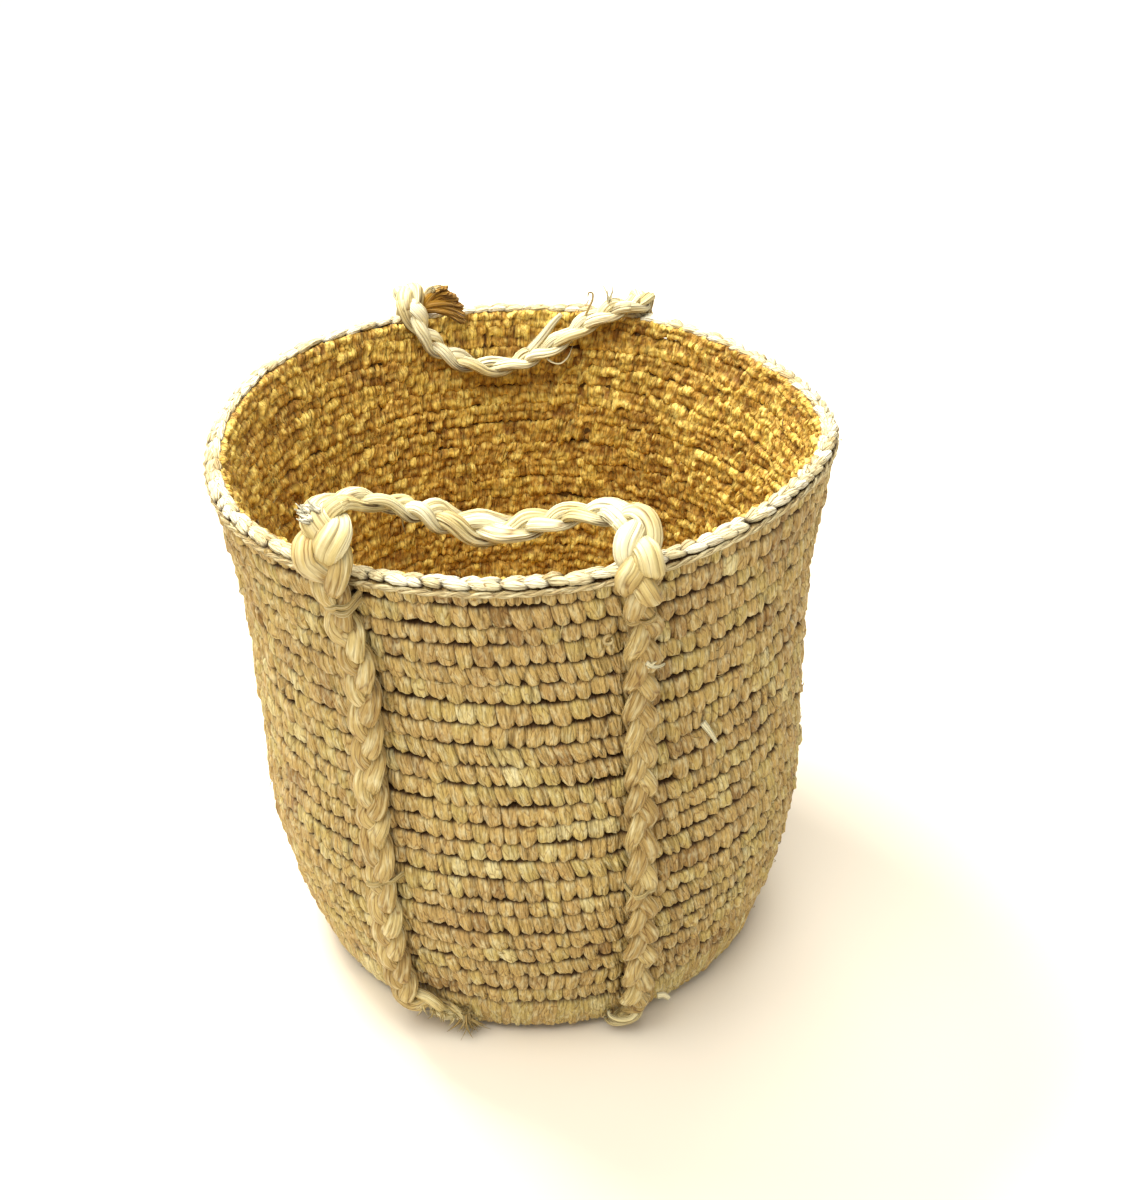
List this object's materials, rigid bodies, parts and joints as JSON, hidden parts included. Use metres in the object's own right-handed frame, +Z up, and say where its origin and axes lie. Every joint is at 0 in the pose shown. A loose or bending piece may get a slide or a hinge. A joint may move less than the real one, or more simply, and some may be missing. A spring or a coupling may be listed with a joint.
{
  "type": "basket",
  "caption": "Tall round crocheted raffia basket with an open top, braided straps lashed down its wall and a braided loop handle at front and back",
  "frame": {"origin": "centre of the base's underside, on the surface the basket stands on", "axes": "+Z up, -Y the front with the handle that leans over the mouth, +X to the right seen from the front"},
  "size_m": [0.342, 0.3478, 0.3599],
  "materials": {
    "raffia_body": "dry matt raffia stitches, straw yellow to tan",
    "raffia_edging": "pale cream raffia chain stitch",
    "raffia_braid": "pale raffia bundles with a slight sheen",
    "raffia_lashing": "thin raffia ribbon"
  },
  "bodies": {
    "basket": {"base": "raffia_body", "wall": "raffia_body", "rim_edging": "raffia_edging", "front_left_strap_strand_a": "raffia_braid", "front_left_strap_strand_b": "raffia_braid", "front_left_strap_strand_c": "raffia_braid", "front_right_strap_strand_a": "raffia_braid", "front_right_strap_strand_b": "raffia_braid", "front_right_strap_strand_c": "raffia_braid", "back_left_strap_strand_a": "raffia_braid", "back_left_strap_strand_b": "raffia_braid", "back_left_strap_strand_c": "raffia_braid", "back_right_strap_strand_a": "raffia_braid", "back_right_strap_strand_b": "raffia_braid", "back_right_strap_strand_c": "raffia_braid", "front_left_upper_lashing": "raffia_lashing", "front_left_lower_lashing": "raffia_lashing", "front_right_upper_lashing": "raffia_lashing", "front_right_lower_lashing": "raffia_lashing", "back_left_upper_lashing": "raffia_lashing", "back_left_lower_lashing": "raffia_lashing", "back_right_upper_lashing": "raffia_lashing", "back_right_lower_lashing": "raffia_lashing", "front_left_tail": "raffia_braid", "front_right_tail": "raffia_braid", "back_left_tail": "raffia_braid", "back_right_tail": "raffia_braid"},
    "front_handle": {"front_handle_strand_a": "raffia_braid", "front_handle_strand_b": "raffia_braid", "front_handle_strand_c": "raffia_braid"},
    "back_handle": {"back_handle_strand_a": "raffia_braid", "back_handle_strand_b": "raffia_braid", "back_handle_strand_c": "raffia_braid"}
  },
  "joints": [
    {"name": "front_handle_hinge", "type": "hinge", "parent": "basket", "child": "front_handle", "pos_m": [-0.0034, -0.16326, 0.3365], "axis": [0.9989, -0.0462, 0], "range_deg": [-25, 110]},
    {"name": "back_handle_hinge", "type": "hinge", "parent": "basket", "child": "back_handle", "pos_m": [-0.01181, 0.1643, 0.333], "axis": [-0.9963, -0.0864, 0], "range_deg": [0, 120]}
  ]
}
